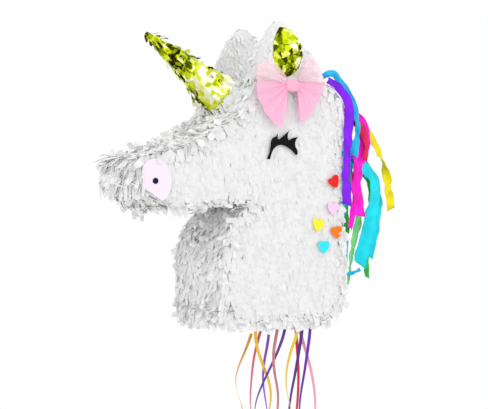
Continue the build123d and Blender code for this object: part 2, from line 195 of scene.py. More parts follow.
def crepe_paper(name, code, dark):
    """Crepe paper: strong dye, matt, with level creases 2.4 mm apart, coarser than real to show."""
    material, tree, shader = new_material(name, Roughness=0.75)
    place = add(tree, "ShaderNodeTexCoord")
    patch = add(tree, "ShaderNodeTexNoise", inputs={
        "Vector": place.outputs["Object"], "Scale": 1 / (25 * MM), "Detail": 4.0})
    add(tree, "ShaderNodeValToRGB", inputs={"Fac": patch.outputs["Fac"]},
        feeds={"Color": shader.inputs["Base Color"]}, stops=[(0.35, dark), (0.62, code)])
    crease = add(tree, "ShaderNodeTexWave", {"bands_direction": "Z"}, {
        "Vector": place.outputs["Object"], "Scale": 1 / (2.4 * MM) / 3.15, "Distortion": 3.0,
        "Detail": 2.0})
    add(tree, "ShaderNodeBump", feeds={"Normal": shader.inputs["Normal"]}, inputs={
        "Height": crease.outputs["Fac"], "Strength": 0.25, "Distance": 0.3 * MM})
    return material


def felt(name, code, light):
    """Pressed felt: soft and matt, with loose fibres under a millimetre long."""
    material, tree, shader = new_material(name, Roughness=0.95)
    shader.inputs["Specular IOR Level"].default_value = 0.1
    place = add(tree, "ShaderNodeTexCoord")
    fibre = add(tree, "ShaderNodeTexNoise", inputs={
        "Vector": place.outputs["Object"], "Scale": 1 / (0.8 * MM), "Detail": 4.0})
    add(tree, "ShaderNodeValToRGB", inputs={"Fac": fibre.outputs["Fac"]},
        feeds={"Color": shader.inputs["Base Color"]}, stops=[(0.35, code), (0.75, light)])
    add(tree, "ShaderNodeBump", feeds={"Normal": shader.inputs["Normal"]}, inputs={
        "Height": fibre.outputs["Fac"], "Strength": 0.3, "Distance": 0.3 * MM})
    return material


def tulle(name, code, cover_of):
    """Tulle net: sheer dyed nylon mesh, drawn with 2 mm holes, coarser than real, so it shows."""
    material, tree, shader = new_material(name, Roughness=0.6)
    shader.inputs["Base Color"].default_value = rgb(code)
    place = add(tree, "ShaderNodeTexCoord")
    net = add(tree, "ShaderNodeTexVoronoi", {"feature": "DISTANCE_TO_EDGE"}, {
        "Vector": place.outputs["Object"], "Scale": 1 / (2 * MM), "Randomness": 0.15})
    cover = add(tree, "ShaderNodeMapRange", inputs={
        "Value": net.outputs["Distance"], "From Min": 0.0, "From Max": 0.30,
        "To Min": cover_of[0], "To Max": cover_of[1]})
    tree.links.new(cover.outputs["Result"], shader.inputs["Alpha"])
    return material


def curling_ribbon(name, code):
    """Polypropylene curling ribbon: dyed, satin, with ribs along it 0.6 mm apart."""
    material, tree, shader = new_material(name, Roughness=0.35)
    shader.inputs["Base Color"].default_value = rgb(code)
    across = add(tree, "ShaderNodeUVMap", {"uv_map": "UVMap"})
    rib = add(tree, "ShaderNodeTexWave", {"bands_direction": "X"}, {
        "Vector": across.outputs["UV"], "Scale": 5 / 0.6 / 3.14})
    add(tree, "ShaderNodeBump", feeds={"Normal": shader.inputs["Normal"]}, inputs={
        "Height": rib.outputs["Fac"], "Strength": 0.3, "Distance": 0.15 * MM})
    return material


def plain(name, code, rough, metallic=0.0):
    """Paint, brass, nylon, polypropylene or paper tape: one colour, with a faint 1.5 mm grain."""
    material, tree, shader = new_material(name, Roughness=rough, Metallic=metallic)
    place = add(tree, "ShaderNodeTexCoord")
    grain = add(tree, "ShaderNodeTexNoise", inputs={
        "Vector": place.outputs["Object"], "Scale": 1 / (1.5 * MM), "Detail": 2.0})
    shader.inputs["Base Color"].default_value = rgb(code)
    add(tree, "ShaderNodeBump", feeds={"Normal": shader.inputs["Normal"]}, inputs={
        "Height": grain.outputs["Fac"], "Strength": 0.1, "Distance": 0.1 * MM})
    return material


TISSUE = tissue_paper("white_tissue_paper", 0.25)
CARD = corrugated_card()
# The ramp runs from near black through olive and gold to near white: painted reflection and painted
# highlight, picked by the tint.
FOIL = metallised_foil("gold_metallised_foil", [
    (0.0, "#2A1C08"), (0.14, "#464C08"), (0.32, "#84960C"), (0.50, "#BCD000"), (0.66, "#DEE830"),
    (0.8, "#F4F49A"), (0.92, "#FFFFEC")])

# ---------------------------------------------------------------- camera and light

# The camera looks at the head's left side from 30 degrees in front, level.
CAMERA_TURN = math.radians(-30)
CAMERA_AWAY = 2.3            # in metres
LOOK_AT = Vector((-5.5, 3.2, -189)) * MM
VIEW_WIDTH = 780.8 * MM      # what the view takes in at the head's distance


def set_camera():
    """A level camera, far enough off for little perspective."""
    data = bpy.data.cameras.new("camera")
    data.sensor_width = 36.0
    data.lens = data.sensor_width * CAMERA_AWAY / VIEW_WIDTH
    camera = bpy.data.objects.new("camera", data)
    bpy.context.collection.objects.link(camera)
    back = Vector((math.sin(CAMERA_TURN), -math.cos(CAMERA_TURN), 0))
    camera.location = LOOK_AT + back * CAMERA_AWAY
    camera.rotation_euler = (math.radians(90), 0, CAMERA_TURN)
    bpy.context.scene.camera = camera


def area_light(name, place, power, size):
    """A square soft box that looks at the head."""
    data = bpy.data.lights.new(name, "AREA")
    data.energy = power
    data.size = size
    light = bpy.data.objects.new(name, data)
    bpy.context.collection.objects.link(light)
    light.location = place
    light.rotation_euler = (LOOK_AT - Vector(place)).to_track_quat("-Z", "Y").to_euler()


def set_light():
    """An even white studio, with a key light on the head's left side and a stronger one above."""
    bpy.context.scene.view_settings.view_transform = "Standard"
    world = bpy.data.worlds.new("studio")
    bpy.context.scene.world = world
    world.use_nodes = True
    tree = world.node_tree
    sky = tree.nodes["Background"]
    sky.inputs["Color"].default_value = rgb("#FFFFFF")
    # The studio's wall is seen as plain white, whatever light it throws.
    sight = add(tree, "ShaderNodeLightPath")
    strength = add(tree, "ShaderNodeMapRange", inputs={
        "Value": sight.outputs["Is Camera Ray"], "To Min": 1.02, "To Max": 1.0})
    tree.links.new(strength.outputs["Result"], sky.inputs["Strength"])
    area_light("key", (0.9, -2.2, 1.0), 5, 1.4)
    area_light("top", (-1.4, -1.2, 1.6), 8, 1.5)


def set_floor():
    """A round pale floor under the hanging head."""
    bpy.ops.object.select_all(action="DESELECT")
    bpy.ops.mesh.primitive_circle_add(vertices=96, radius=1.3, fill_type="NGON",
                                      location=(0, 0, cad_bounds[0][2] - 0.03))
    floor = bpy.context.object
    floor.name = "floor"
    dress(floor, plain("pale_painted_floor", "#F1F1EF", 0.8))


set_camera()
set_light()
set_floor()

# ---------------------------------------------------------------- ribbons

RIBBON_WIDTH = 5 * MM
RIBBON_THICK = 0.25 * MM
BASE_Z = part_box("base_panel")[0][2]


def smooth_route(points):
    """The points along a smooth NURBS curve that has these control points, in millimetres."""
    curve = bpy.data.curves.new("route", "CURVE")
    curve.dimensions = "3D"
    spline = curve.splines.new("NURBS")
    spline.points.add(len(points) - 1)
    for control, point in zip(spline.points, points):
        control.co = (*(Vector(point) * MM), 1.0)
    spline.order_u = 3
    spline.use_endpoint_u = True
    spline.resolution_u = 8
    holder = bpy.data.objects.new("route", curve)
    bpy.context.collection.objects.link(holder)
    bpy.context.view_layer.update()
    line = bpy.data.meshes.new_from_object(holder.evaluated_get(bpy.context.evaluated_depsgraph_get()))
    route = [v.co.copy() for v in line.vertices]
    bpy.data.objects.remove(holder)
    bpy.data.meshes.remove(line)
    return route


def ribbon_mesh(name, route, material, turn_start, turns):
    """A flat ribbon along a route, whose width turns slowly about it."""
    verts, faces, across = [], [], []
    count = len(route)
    for i, point in enumerate(route):
        along = (route[min(i + 1, count - 1)] - route[max(i - 1, 0)]).normalized()
        side = along.cross(Vector((0, 1, 0))).normalized()
        face = along.cross(side).normalized()
        share = i / (count - 1)
        angle = turn_start + 2 * math.pi * turns * (share + 0.06 * math.sin(9 * share + turn_start))
        wide = side * math.cos(angle) + face * math.sin(angle)
        thick = along.cross(wide).normalized()
        for u, v in ((-1, -1), (1, -1), (1, 1), (-1, 1)):
            verts.append(point + wide * u * RIBBON_WIDTH / 2 + thick * v * RIBBON_THICK / 2)
            across.append(((u + 1) / 2, share))
    for i in range(count - 1):
        a = 4 * i
        for j in range(4):
            k = (j + 1) % 4
            faces.append((a + j, a + 4 + j, a + 4 + k, a + k))
    faces.append((0, 1, 2, 3))
    last = 4 * (count - 1)
    faces.append((last + 3, last + 2, last + 1, last))
    piece = mesh_piece(name, verts, faces, material)
    layer = piece.data.uv_layers.new(name="UVMap")
    for loop in piece.data.loops:
        layer.data[loop.index].uv = across[loop.vertex_index]
    return piece


# node: (colour, start of the turn, turns, route in millimetres from the base down)
RIBBONS = {
    "ribbon_gold_front": ("#D9A62A", 0.3, 0.8, [
        (-8, -33, -375), (-12, -33, -392), (-24, -32, -420), (-37, -31, -446), (-42, -31, -470),
        (-32, -32, -498), (-26, -33, -524), (-36, -34, -556), (-44, -35, -592), (-36, -36, -632),
        (-26, -36, -674), (-32, -35, -716), (-38, -35, -752)]),
    "ribbon_gold_back": ("#F0C02C", 0.9, -0.6, [
        (-12, -46, -375), (-14, -46, -390), (-11, -46, -412), (0, -45, -440), (13, -45, -468),
        (17, -45, -496), (8, -46, -526), (-6, -46, -556), (-14, -46, -590), (-8, -46, -628),
        (2, -45, -668), (0, -45, -708), (-6, -46, -750)]),
    "ribbon_coral": ("#DB5F78", 0.2, 0.6, [
        (62, 53, -375), (57, 53, -392), (48, 52, -416), (40, 51, -444), (36, 51, -476),
        (34, 52, -510), (37, 53, -546), (42, 53, -584), (38, 52, -624), (30, 51, -666),
        (32, 51, -710), (38, 51, -754)]),
    "ribbon_lilac": ("#8E4FC8", 0.1, 0.6, [
        (72, 56, -375), (74, 56, -394), (70, 56, -422), (62, 55, -452), (60, 55, -482),
        (66, 56, -512), (72, 57, -544), (70, 57, -580), (60, 56, -618), (56, 56, -660),
        (62, 56, -704), (66, 56, -750)]),
    "ribbon_dusty_pink": ("#C77A86", 0.3, 0.5, [
        (20, -61, -375), (16, -61, -394), (10, -61, -422), (12, -61, -452), (20, -61, -484),
        (18, -61, -518), (8, -61, -552), (4, -61, -590), (12, -61, -630), (18, -61, -672),
        (12, -61, -714), (8, -61, -750)]),
    "ribbon_violet": ("#5A2A9C", 0.8, -0.7, [
        (39, -53, -375), (36, -53, -392), (24, -53, -420), (6, -53, -452), (-10, -53, -480),
        (-19, -53, -504), (-17, -53, -534), (-6, -53, -566), (-2, -53, -602), (-12, -53, -640),
        (-20, -53, -680), (-12, -53, -720), (-8, -53, -752)]),
    "ribbon_yellow": ("#F4D63C", 0.1, 0.8, [
        (57, -62, -375), (54, -62, -394), (42, -62, -420), (34, -62, -448), (33, -62, -476),
        (40, -62, -504), (48, -62, -532), (42, -62, -566), (32, -62, -602), (34, -62, -642),
        (44, -62, -684), (46, -62, -724), (42, -62, -754)]),
    "ribbon_plum": ("#5B1E8C", 0.1, 0.6, [
        (70, -55, -375), (67, -55, -394), (61, -55, -426), (54, -55, -460), (46, -55, -492),
        (42, -55, -524), (46, -55, -560), (54, -55, -598), (52, -55, -640), (44, -55, -684),
        (46, -55, -726), (50, -55, -756)]),
    "ribbon_pink": ("#EE9DB6", 0.8, -0.5, [
        (64, -48, -375), (68, -48, -392), (78, -48, -420), (88, -48, -450), (95, -48, -482),
        (98, -48, -516), (93, -48, -554), (86, -48, -594), (88, -48, -636), (94, -48, -680),
        (90, -48, -724), (86, -48, -756)]),
    "ribbon_purple": ("#6A22B8", 0.2, 0.6, [
        (79, -62, -375), (78, -62, -394), (73, -62, -424), (67, -62, -458), (60, -62, -490),
        (57, -62, -524), (62, -62, -560), (70, -62, -600), (68, -62, -642), (60, -62, -684),
        (62, -62, -724), (66, -62, -752)]),
    "release_ribbon": ("#D42038", 0.2, 0.5, [
        (76, -22, -379), (77, -22, -398), (80, -22, -430), (82, -22, -468), (80, -22, -508),
        (74, -22, -546), (70, -22, -586), (74, -22, -628), (80, -22, -672), (76, -22, -716),
        (72, -22, -756)]),
}


def hang_ribbon(node, colour, turn_start, turns, points):
    """One curling ribbon, in place of its CAD node."""
    route = smooth_route(points)
    piece = ribbon_mesh(node + "_strip", route, curling_ribbon(node + "_polypropylene", colour),
                        turn_start, turns)
    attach(piece, "release_ribbon" if node == "release_ribbon" else "carcass")
    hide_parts(node)


for node, entry in RIBBONS.items():
    hang_ribbon(node, *entry)

# ---------------------------------------------------------------- tissue fringe

TAB_THICK = 0.25 * MM
STATIONS = (0.0, 0.4, 0.75, 1.0)       # where a tab bends, as shares of its length
TAB_CORNERS, TAB_FACES = 16, 14


def unit(vectors):
    """The same directions, each of length one."""
    return vectors / np.maximum(np.linalg.norm(vectors, axis=-1, keepdims=True), 1e-9)


def tab_mesh(root, out, down, length, width, angles, twist):
    """Many thin closed paper tabs.

    Each starts at its root and runs along down, tipped towards out by one angle for each stretch.
    """
    across = unit(np.cross(down, out))
    count = len(root)
    here = root.copy()
    verts = np.empty((count, 4, 4, 3))
    for k, station in enumerate(STATIONS):
        stretch = min(k, 2)
        lean = angles[:, stretch][:, None]
        ahead = down * np.cos(lean) + out * np.sin(lean)
        normal = unit(np.cross(ahead, across))
        spin = (twist * station)[:, None]
        wide = across * np.cos(spin) + normal * np.sin(spin)
        flat = unit(np.cross(ahead, wide))
        taper = 1.0 - 0.25 * (k == 3)
        half_w = wide * (width * taper / 2)[:, None]
        half_t = flat * TAB_THICK / 2
        verts[:, k, 0] = here - half_w - half_t
        verts[:, k, 1] = here + half_w - half_t
        verts[:, k, 2] = here + half_w + half_t
        verts[:, k, 3] = here - half_w + half_t
        if k < 3:
            here = here + ahead * (length * (STATIONS[k + 1] - station))[:, None]
    pattern = [(0, 3, 2, 1), (12, 13, 14, 15)]
    for k in range(3):
        a = 4 * k
        pattern += [(a + j, a + (j + 1) % 4, a + 4 + (j + 1) % 4, a + 4 + j) for j in range(4)]
    faces = (np.arange(count) * TAB_CORNERS)[:, None, None] + np.array(pattern)[None]
    return verts.reshape(-1, 3), faces.reshape(-1, 4)


SIDE_REACH = 87 * MM       # no tab stands further out than this from the middle plane
MANE_REACH = 78.4 * MM     # nor than this under the streamer that lies on the left side
MANE_FRONT, MANE_FOOT = 97 * MM, -200 * MM


def within_reach(verts, faces, clear=None):
    """Drops the tabs that stand out too far to the side, or that clear(tabs) turns down.

    Returns also how many are left.
    """
    tabs = verts.reshape(-1, TAB_CORNERS, 3)
    held = np.abs(tabs[:, :, 1]).max(axis=1) < SIDE_REACH
    under_mane = (tabs[:, :, 0].max(axis=1) > MANE_FRONT) & (tabs[:, :, 2].max(axis=1) > MANE_FOOT)
    held &= ~(under_mane & (tabs[:, :, 1].min(axis=1) < -MANE_REACH))
    if clear is not None:
        held &= clear(tabs)
    tabs = tabs[held]
    return tabs.reshape(-1, 3), faces[:TAB_FACES * len(tabs)], len(tabs)


def clean_copy(node):
    """A merged bmesh of a CAD node, with outward normals."""
    shape = bmesh.new()
    shape.from_mesh(NODES[node].data)
    bmesh.ops.remove_doubles(shape, verts=shape.verts, dist=0.01 * MM)
    bmesh.ops.recalc_face_normals(shape, faces=shape.faces)
    shape.normal_update()
    return shape


def all_walls():
    """Every CAD wall except the mane, the bow and the ribbons, to find the fringe's buried faces."""
    verts, faces = [], []
    for name, node in NODES.items():
        if "ribbon" in name or "streamer" in name or name.startswith("bow") or name == "mane_tape":
            continue
        offset = len(verts)
        verts += [v.co.copy() for v in node.data.vertices]
        faces += [tuple(offset + i for i in p.vertices) for p in node.data.polygons]
    return BVHTree.FromPolygons(verts, faces)


WALLS = all_walls()
BURIED = 3 * MM            # a face with a wall nearer than this is hidden
CORE_DEPTH = 2.5 * MM      # the fringe's core lies this far under its outer face
SIDE_DEPTH = 5 * MM        # and this far on the flat sides
EAR_DEPTH = 0.4 * MM       # the ears' tabs start this far under their skin


def seen_faces(shape):
    """The faces of a fringe's skin that look outwards into free air."""
    seen = []
    for face in shape.faces:
        start = face.calc_center_median() + face.normal * 0.02 * MM
        hit = WALLS.ray_cast(start, face.normal, BURIED)
        if hit[0] is None:
            seen.append(face)
    return seen


def core_of(shape, seen, on_side):
    """The skin pulled in under its outer faces, as what the tabs are glued to.

    A flat side keeps its rim, so that the card's edge stays covered.
    """
    moves = {}
    for face in seen:
        sideways = abs(face.normal.y) > 0.7
        if on_side and not sideways:
            continue
        for vert in face.verts:
            normals = moves.setdefault(vert.index, [])
            if all(face.normal.dot(n) < 0.94 for n, _ in normals):
                normals.append((face.normal.copy(), SIDE_DEPTH if sideways else CORE_DEPTH))
    verts = []
    for vert in shape.verts:
        shift = sum((n * d for n, d in moves.get(vert.index, [])), Vector((0, 0, 0)))
        verts.append(vert.co - shift)
    return verts, [[v.index for v in f.verts] for f in shape.faces]


def ear_core(shape):
    """The ear's own skin: it is thin, so it isn't pulled in."""
    return [v.co.copy() for v in shape.verts], [[v.index for v in f.verts] for f in shape.faces]


TRIES = 5              # points tried for each one wanted
CLOSEST = 0.78         # how near two points may lie, as a share of their spacing


def spread(points, gap):
    """Which points to hold so that none lies closer than the gap to one held before it."""
    held = []
    for i, point in enumerate(points):
        if not held or np.sum((points[held] - point) ** 2, axis=1).min() > gap ** 2:
            held.append(i)
    return held


def scatter(seen, rng, spacing):
    """Random points on the seen faces, spread evenly, about one for each spacing squared."""
    corners = np.array([[v.co for v in f.verts[:3]] for f in seen], float)
    normals = np.array([f.normal for f in seen], float)
    first, second = corners[:, 1] - corners[:, 0], corners[:, 2] - corners[:, 0]
    area = np.linalg.norm(np.cross(first, second), axis=1) / 2
    count = int(TRIES * area.sum() / spacing ** 2)
    chosen = rng.choice(len(seen), count, p=area / area.sum())
    u, v = rng.random(count), rng.random(count)
    over = u + v > 1
    u[over], v[over] = 1 - u[over], 1 - v[over]
    a, b, c = corners[chosen, 0], corners[chosen, 1], corners[chosen, 2]
    points = a + (b - a) * u[:, None] + (c - a) * v[:, None]
    held = spread(points, CLOSEST * spacing)
    return points[held], normals[chosen][held]


def hanging(out, rng, wander):
    """A direction along the surface, mostly downwards, that wanders."""
    count = len(out)
    down = np.tile([0.0, 0.0, -1.0], (count, 1)) + rng.normal(0, wander, (count, 3))
    down -= out * np.sum(down * out, axis=1)[:, None]
    return unit(down)


def fringe_piece(node, body, core, core_faces, verts, faces, core_tint, tab_tints):
    """A core and its tabs, as one piece in place of a CAD fringe."""
    joined = np.concatenate([np.array(core, float), verts])
    tint = np.concatenate([np.full(len(core), core_tint), np.repeat(tab_tints, TAB_CORNERS)])
    tab_faces = (faces + len(core)).tolist()
    piece = mesh_piece(node + "_tabs", joined, core_faces + tab_faces, TISSUE, tint=tint)
    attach(piece, body)
    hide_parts(node)


def ruffled(node, body, seed, spacing, length, width=(7.0, 12.0), lift=(12, 40), wander=0.45, keep=None,
            clear=None, trim=None):
    """A loose ruffled fringe in place of a CAD fringe: a core and tabs that stand off it.

    Lengths and widths are in millimetres and lifts in degrees. keep(root) picks the places that
    carry a tab, clear(tabs) the finished tabs to hold, and trim(root, out, length) shortens them.
    """
    rng = np.random.default_rng(seed)
    shape = clean_copy(node)
    seen = seen_faces(shape)
    on_ear = "ear" in node
    core, core_faces = ear_core(shape) if on_ear else core_of(shape, seen, False)
    root, out = scatter(seen, rng, spacing * MM)
    root = root - out * (EAR_DEPTH if on_ear else CORE_DEPTH)
    if keep is not None:
        held = keep(root)
        root, out = root[held], out[held]
    count = len(root)
    down = hanging(out, rng, wander)
    # Most tabs lie close; one in eight stands up.
    stands = rng.random(count) < 0.12
    lean = np.radians(np.where(stands, rng.uniform(*lift, count), rng.uniform(4, 9, count)))
    curl = np.radians(np.where(stands, rng.uniform(5, 70, count), rng.uniform(0, 8, count)))
    angles = np.stack([lean, lean * rng.uniform(0.4, 1.1, count), lean - curl], 1)
    long = rng.uniform(*length, count) * MM
    if trim is not None:
        long = trim(root, out, long)
    verts, faces = tab_mesh(root, out, down, long, rng.uniform(*width, count) * MM, angles,
                            rng.normal(0, np.where(stands, 0.5, 0.1)))
    verts, faces, count = within_reach(verts, faces, clear)
    shape.free()
    fringe_piece(node, body, core, core_faces, verts, faces, 0.8, rng.random(count))


def outline_of(node):
    """The edge segments of a side panel's outer face, as pairs of X and Z."""
    shape = clean_copy(node)
    segments = []
    for edge in shape.edges:
        sides = [f.normal.y < -0.9 for f in edge.link_faces]
        if sum(sides) == 1:
            segments.append([(v.co.x, v.co.z) for v in edge.verts])
    shape.free()
    return np.array(segments)


OUTLINE = outline_of("left_side_panel")


def inside(points):
    """Which points, as X and Z, lie inside the head's outline."""
    a, b = OUTLINE[:, 0], OUTLINE[:, 1]
    x, z = points[:, 0][:, None], points[:, 1][:, None]
    spans = (a[:, 1] > z) != (b[:, 1] > z)
    slope = (b[:, 0] - a[:, 0]) / np.where(b[:, 1] == a[:, 1], 1e-9, b[:, 1] - a[:, 1])
    crossing = a[:, 0] + (z - a[:, 1]) * slope
    return (np.sum(spans & (x < crossing), axis=1) % 2) == 1


def edge_distance(points):
    """How far each point, as X and Z, lies from the head's outline."""
    a, b = OUTLINE[:, 0][None], OUTLINE[:, 1][None]
    p = points[:, None]
    t = np.clip(np.sum((p - a) * (b - a), -1) / np.maximum(np.sum((b - a) ** 2, -1), 1e-12), 0, 1)
    return np.min(np.linalg.norm(p - (a + (b - a) * t[..., None]), axis=-1), axis=1)


NOSTRIL = np.array([-204, -154]) * MM      # its X and Z


def calm(points):
    """How loose the rim's fringe is: less down the nape, and hardly at all round the nostril."""
    loose = np.where(points[:, 0] > 90 * MM, 0.4, 1.0)
    from_nostril = np.linalg.norm(points - NOSTRIL, axis=1)
    return loose * np.clip((from_nostril - 44 * MM) / (12 * MM), 0, 1)


ROW = 9.0                  # from one row of tabs to the next, in millimetres
TAB_STEP = 4.0             # and from one tab to the next
TAB_LONG = (13.0, 18.0)
TAB_WIDE = (5.4, 8.0)
RUFFLED_RIM = 17 * MM      # how far in from the edge the fringe is loose
ROOT_LANE = 73.2 * MM      # where the sides' tabs are glued, from the middle plane
BASE_ROWS = 30 * MM        # the rows whose tabs hang below the base


def combed(node, body, seed, side, held_in, shorten=None):
    """The fringe of a flat side: rows of tabs combed down, and loose near the head's edge.

    held_in(points) picks the places that carry a tab, and shorten(points, length) trims them.
    """
    rng = np.random.default_rng(seed)
    low, high = (np.array(c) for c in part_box(node))
    rows = np.arange(low[2] + 4 * MM, high[2], ROW * MM)
    columns = np.arange(low[0], high[0], TAB_STEP * MM)
    x, z = np.meshgrid(columns, rows)
    x = x.ravel() + rng.normal(0, 0.8 * MM, x.size)
    z = z.ravel() + rng.normal(0, 1.6 * MM, z.size)
    points = np.stack([x, z], 1)
    held = inside(points) & held_in(points)
    points = points[held]
    count = len(points)
    length = rng.uniform(*TAB_LONG, count) * MM
    # Tabs on the lower edges stop just past the outline, and hang further at the base.
    ends = points - np.stack([np.zeros(count), length], 1)
    ragged = length * rng.uniform(0.45, 0.85, count)
    trimmed = np.clip(edge_distance(points) + rng.uniform(0.5, 4.0, count) * MM, 4 * MM, length)
    at_base = points[:, 1] < BASE_Z + BASE_ROWS
    length = np.where(inside(ends), length, np.where(at_base, ragged, trimmed))
    if shorten is not None:
        length = shorten(points, length)
    near = np.clip(1 - edge_distance(points) / RUFFLED_RIM, 0, 1) * calm(points)
    root = np.stack([points[:, 0], np.full(count, side * ROOT_LANE), points[:, 1]], 1)
    out = np.tile([0.0, side, 0.0], (count, 1))
    sway = rng.normal(0, 0.07 + 0.55 * near, count)
    down = unit(np.stack([np.sin(sway), np.zeros(count), -np.cos(sway)], 1))
    first = np.radians(rng.uniform(6, 8, count) + near * rng.uniform(0, 26, count))
    second = np.radians(rng.uniform(2, 6, count) + near * rng.uniform(-20, 25, count))
    third = np.radians(rng.uniform(-8, 6, count) - near * rng.uniform(-30, 70, count))
    verts, faces = tab_mesh(root, out, down, length, rng.uniform(*TAB_WIDE, count) * MM,
                            np.stack([first, second, third], 1),
                            rng.normal(0, 0.06 + 0.5 * near, count))
    verts, faces, count = within_reach(verts, faces)
    shape = clean_copy(node)
    core, core_faces = core_of(shape, seen_faces(shape), True)
    shape.free()
    fringe_piece(node, body, core, core_faces, verts, faces, 0.5, rng.random(count))


FLAP_LOW, FLAP_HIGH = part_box("fill_flap")
PANEL_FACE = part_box("right_side_panel")[1][1]
FLAP_GAP = 3 * MM          # from the flap's ends to the nearest roots beside it
FOLD_BELOW = 8 * MM        # no combed tab starts this near the fold on the flap
FOLD_ABOVE = 12 * MM       # nor this near it on the panel
FOLD_ROOM = 7 * MM         # the panel's tabs end this far above the fold
SHORTEST = 5 * MM


def anywhere(points):
    """Every place carries a tab."""
    return np.ones(len(points), bool)


def in_flap(points):
    """Which places lie on the fill flap, below its fold."""
    x, z = points[:, 0], points[:, 1]
    return (x > FLAP_LOW[0]) & (x < FLAP_HIGH[0]) & (z > FLAP_LOW[2]) & (z < FLAP_HIGH[2] - FOLD_BELOW)


def beside_flap(points):
    """Which places on the right side are clear of the fill flap."""
    x, z = points[:, 0], points[:, 1]
    across = (x > FLAP_LOW[0] - FLAP_GAP) & (x < FLAP_HIGH[0] + FLAP_GAP)
    return ~(across & (z > FLAP_LOW[2]) & (z < FLAP_HIGH[2] + FOLD_ABOVE))


def stop_above_flap(points, length):
    """Tabs over the flap's fold are short, so that they don't cross it."""
    x, z = points[:, 0], points[:, 1]
    over = (x > FLAP_LOW[0] - FLAP_GAP) & (x < FLAP_HIGH[0] + FLAP_GAP) & (z > FLAP_HIGH[2])
    room = np.where(over, z - FLAP_HIGH[2] - FOLD_ROOM, 1.0)
    return np.clip(np.minimum(length, room), SHORTEST, None)


DOOR_LOW, DOOR_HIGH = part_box("trap_door")
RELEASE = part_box("release_washer")
DOOR_SWING = 22 * MM       # no tab in front of the door's fold, where its own hang when it is open
DOOR_GAP = 1 * MM          # nor this near its other edges
RELEASE_GAP = 10 * MM      # from the release ribbon's lane to the door's tabs
DOOR_FRONT = 30 * MM       # this much of the door keeps all of its tabs
JAW_FRONT = -150 * MM
JAW_TAB = 6 * MM           # the longest tab beside the jaw's lower edge


def clean_jaw(root, out, length):
    """Tabs beside the jaw's lower edge are short, so that the edge stays clean."""
    beside = (root[:, 0] > JAW_FRONT) & (np.abs(out[:, 1]) > 0.5)
    return np.where(beside, np.minimum(length, JAW_TAB), length)


def clear_of_door(tabs):
    """Which of the base's tabs stay out of the way of the falling door."""
    x, y = tabs[:, :, 0], tabs[:, :, 1]
    along = (x > DOOR_LOW[0] - DOOR_SWING) & (x < DOOR_HIGH[0] + DOOR_GAP)
    across = (y > DOOR_LOW[1] - DOOR_GAP) & (y < DOOR_HIGH[1] + DOOR_GAP)
    return ~np.any(along & across, axis=1)


def clear_of_release(root):
    """Keeps the door's tabs off the release ribbon, which hangs plumb while the door falls."""
    near = np.abs(root[:, 1] - (RELEASE[0][1] + RELEASE[1][1]) / 2) < RELEASE_GAP
    return ~(near & (root[:, 0] > DOOR_LOW[0] + DOOR_FRONT))


def fold_row(name, body, face_y, top, length):
    """One row of short flat tabs over the bare card beside the fill flap's fold."""
    rng = np.random.default_rng(14)
    x = np.arange(FLAP_LOW[0] - 1 * MM, FLAP_HIGH[0] + 1 * MM, 4.6 * MM)
    count = len(x)
    root = np.stack([x, np.full(count, face_y + 0.2 * MM), np.full(count, top)], 1)
    out = np.tile([0.0, 1.0, 0.0], (count, 1))
    down = np.tile([0.0, 0.0, -1.0], (count, 1))
    lean = np.radians(rng.uniform(3, 6, count))
    verts, faces = tab_mesh(root, out, down, rng.uniform(*length, count) * MM,
                            rng.uniform(5, 6.5, count) * MM, np.stack([lean, lean, lean], 1),
                            rng.normal(0, 0.04, count))
    tint = np.repeat(rng.random(count), TAB_CORNERS)
    piece = mesh_piece(name, verts, faces.tolist(), TISSUE, tint=tint)
    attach(piece, body)


def off_lining(side):
    """Keeps the ear's tabs off its foil lining."""
    low, high = (np.array(corner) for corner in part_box(side + "_ear_lining"))
    middle, half = (low + high) / 2, (high - low) / 2
    ear_low, ear_high = sorted(abs(corner[1]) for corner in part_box(side + "_ear_fringe"))

    def keep(root):
        """Which roots lie clear of the lining's leaf shape."""
        across = (root[:, 0] - middle[0]) / (half[0] + 1 * MM)
        up = (root[:, 2] - middle[2] - 8 * MM) / (half[2] + 9 * MM)
        on_face = np.abs(root[:, 1]) > (ear_low + ear_high) / 2
        return ~(on_face & (across ** 2 + up ** 2 < 1))

    return keep


def make_fringe():
    """Every tissue fringe of the head and ears."""
    combed("left_side_fringe", "carcass", 11, -1, anywhere)
    combed("right_side_fringe", "carcass", 12, 1, beside_flap, stop_above_flap)
    combed("fill_flap_fringe", "fill_flap", 13, 1, in_flap)
    ruffled("bridge_fringe", "carcass", 21, 6.0, (13, 20), lift=(20, 55))
    ruffled("muzzle_fringe", "carcass", 22, 6.0, (15, 25), lift=(20, 65), trim=clean_jaw)
    ruffled("chest_fringe", "carcass", 23, 6.0, (12, 19), lift=(20, 55))
    ruffled("nape_fringe", "carcass", 24, 6.2, (12, 18), lift=(12, 35))
    ruffled("crown_fringe", "carcass", 25, 6.4, (12, 18), lift=(15, 45))
    ruffled("base_fringe", "carcass", 26, 5.8, (12, 19), lift=(30, 80), clear=clear_of_door)
    ruffled("trap_door_fringe", "trap_door", 27, 5.8, (8, 12), lift=(20, 45), keep=clear_of_release)
    fold_row("fill_flap_fold_tabs", "fill_flap", FLAP_HIGH[1], FLAP_HIGH[2] - 0.6 * MM, (11, 14))
    fold_row("above_fold_tabs", "carcass", PANEL_FACE, FLAP_HIGH[2] + 9 * MM, (7.0, 8.4))
    for side in ("left", "right"):
        ruffled(f"{side}_ear_fringe", "carcass", 28, 5.2, (9, 15), width=(4.0, 6.5), lift=(10, 35),
                wander=0.3, keep=off_lining(side))


make_fringe()

# ---------------------------------------------------------------- card and small hard parts

